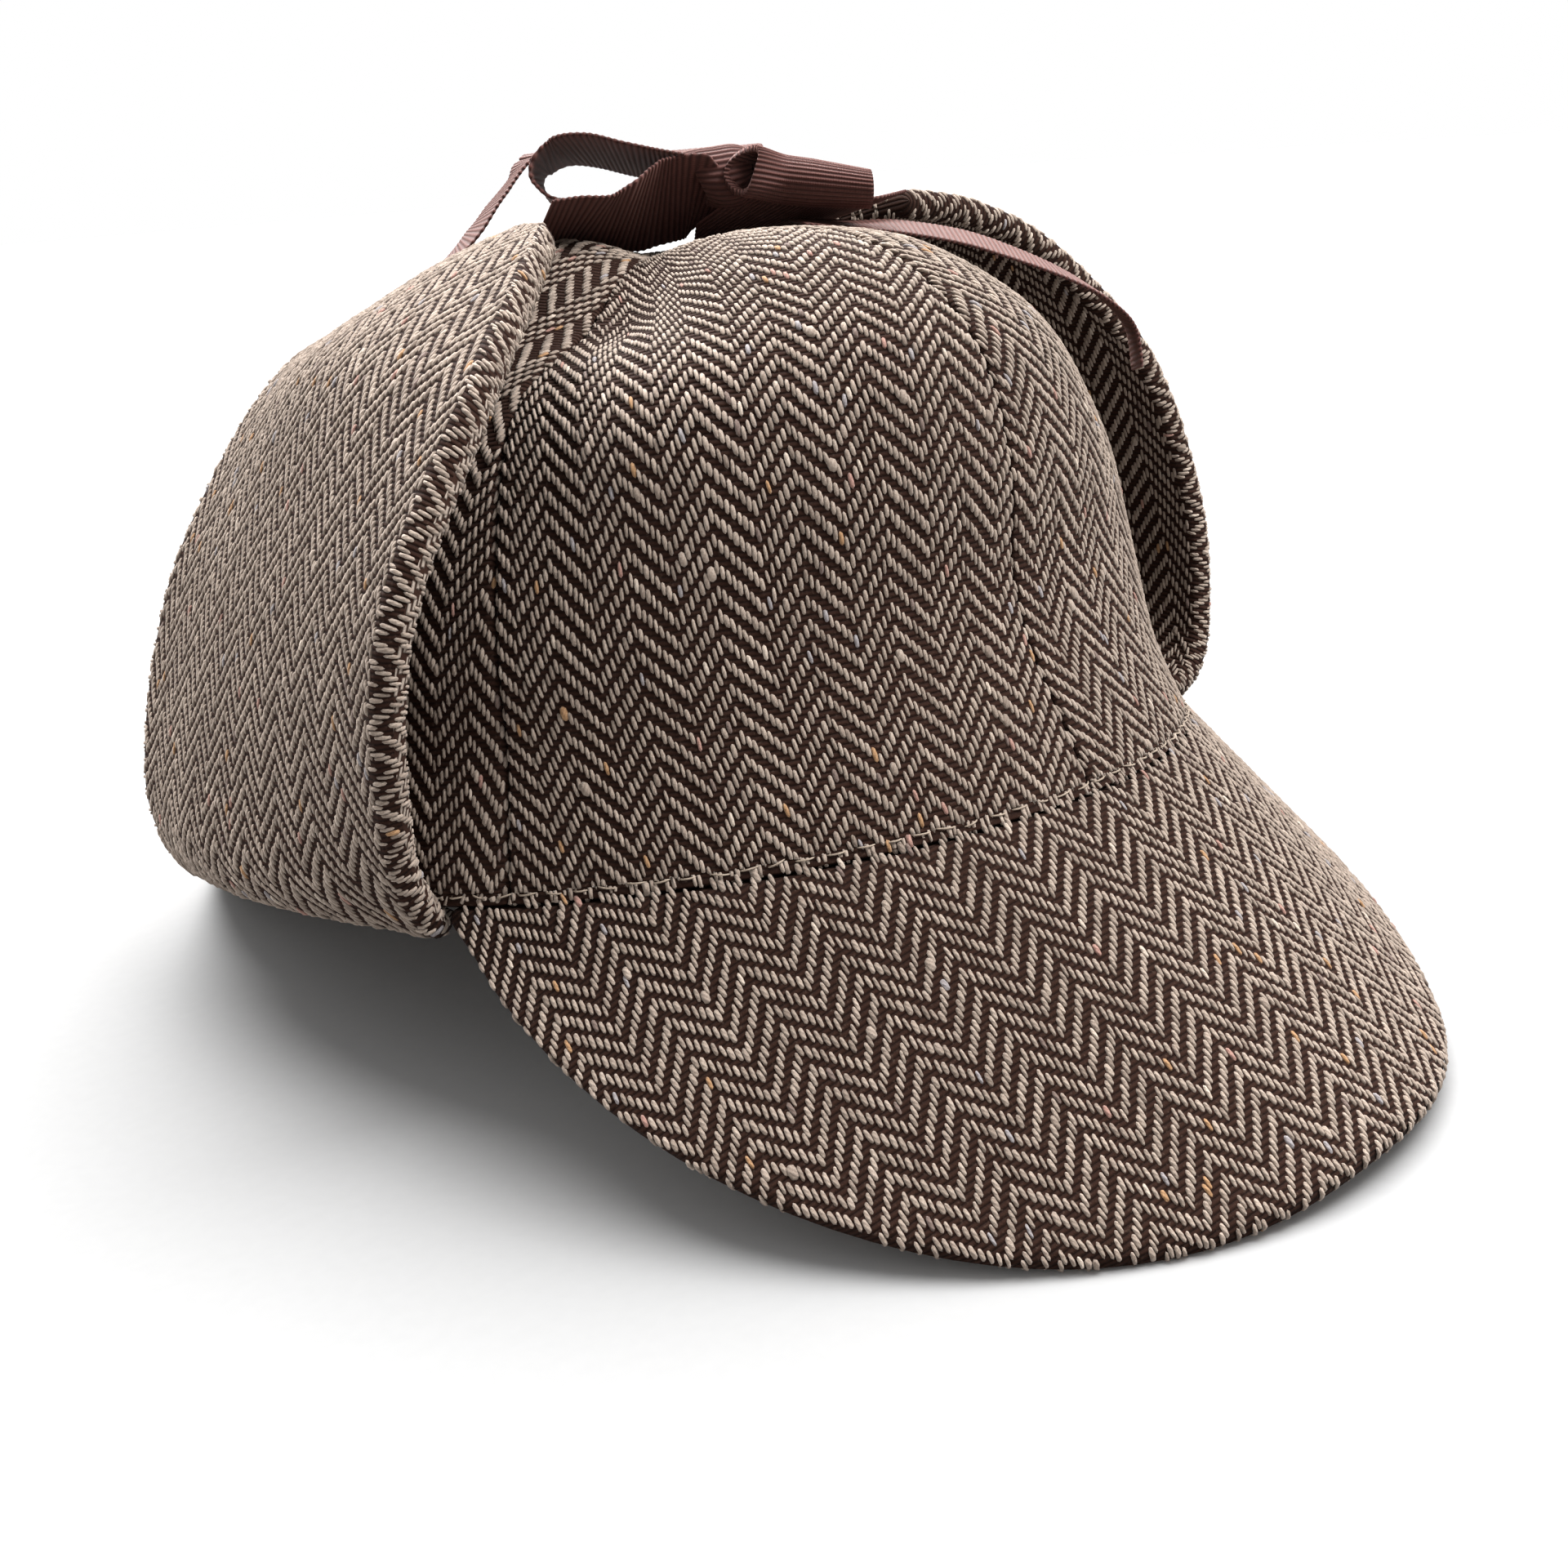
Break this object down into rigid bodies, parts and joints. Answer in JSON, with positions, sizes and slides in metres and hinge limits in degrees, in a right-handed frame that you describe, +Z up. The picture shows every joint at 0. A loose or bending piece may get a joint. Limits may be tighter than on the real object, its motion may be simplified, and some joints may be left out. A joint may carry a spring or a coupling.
{
  "type": "deerstalker hat",
  "caption": "Deerstalker hat in herringbone tweed: a panelled dome crown, a peak in front and behind, and ear flaps tied up over the crown with a ribbon bow.",
  "frame": {"origin": "on the surface that the hat rests on, under the middle of its outline", "axes": "+Z up, -Y the way the wearer looks, -X the wearer's right"},
  "size_m": [0.2056, 0.2904, 0.1477],
  "materials": {
    "tweed": "matt woollen herringbone twill",
    "tweed_flap": "matt woollen herringbone twill, a lighter run of the same cloth",
    "grosgrain": "ribbed grosgrain with a low sheen"
  },
  "bodies": {
    "root": {"crown_gore_front_right": "tweed", "crown_gore_side_right": "tweed", "crown_gore_back_right": "tweed", "crown_gore_back_left": "tweed", "crown_gore_side_left": "tweed", "crown_gore_front_left": "tweed", "front_peak": "tweed", "back_peak": "tweed", "ear_flap_right": "tweed_flap", "ear_flap_left": "tweed_flap", "bow_knot": "grosgrain", "bow_loop_right": "grosgrain", "bow_loop_left": "grosgrain", "ribbon_tie_right": "grosgrain", "ribbon_tie_left": "grosgrain", "ribbon_tail_right": "grosgrain", "ribbon_tail_left": "grosgrain"}
  },
  "joints": []
}
